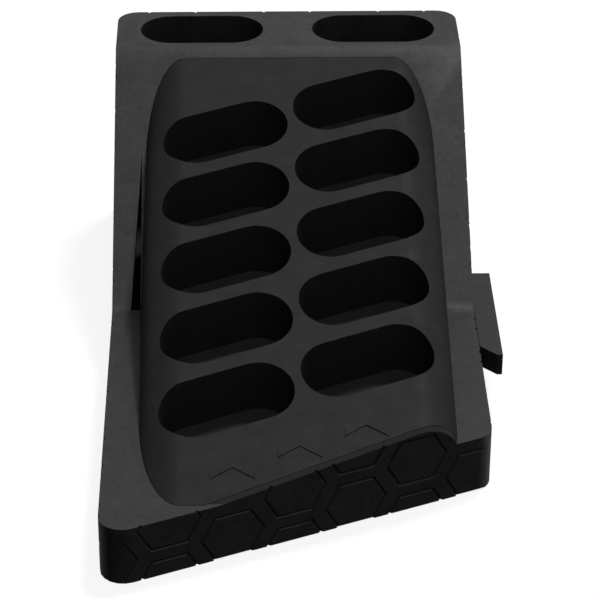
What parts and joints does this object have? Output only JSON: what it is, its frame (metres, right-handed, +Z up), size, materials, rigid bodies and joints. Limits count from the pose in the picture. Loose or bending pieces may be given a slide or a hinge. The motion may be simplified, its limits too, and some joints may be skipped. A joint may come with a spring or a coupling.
{
  "type": "ramp leveler",
  "caption": "Wedge ramp leveler for a caravan or motorhome wheel, with a raised driving track, slanted drain pockets, hand holes, a side coupler hook and a rubber sole.",
  "frame": {"origin": "on the ground plane, midway across the body and 10 mm ahead of the crease between the two rims", "axes": "+Z up, +Y towards the tall rear end where the wheel parks, +X towards the side that carries the hook"},
  "size_m": [0.212, 0.3937, 0.127],
  "materials": {
    "body_plastic": "moulded black plastic with a fine bead-blast grain",
    "track_plastic": "moulded black plastic, smoother and slightly darker than the body",
    "hook_plastic": "moulded black plastic, semi-matte",
    "sole_rubber": "matt black rubber with a ribbed tread",
    "screw_steel": "zinc-plated steel"
  },
  "bodies": {
    "root": {"wedge_body": "body_plastic", "track_insert": "track_plastic", "coupler_hook": "hook_plastic", "sole_mat": "sole_rubber", "track_screw_1": "screw_steel", "track_screw_2": "screw_steel", "track_screw_3": "screw_steel", "track_screw_4": "screw_steel", "track_screw_5": "screw_steel", "track_screw_6": "screw_steel", "track_screw_7": "screw_steel", "track_screw_8": "screw_steel", "hook_screw_1": "screw_steel", "hook_screw_2": "screw_steel", "mat_screw_1": "screw_steel", "mat_screw_2": "screw_steel", "mat_screw_3": "screw_steel", "mat_screw_4": "screw_steel", "mat_screw_5": "screw_steel", "mat_screw_6": "screw_steel"}
  },
  "joints": []
}
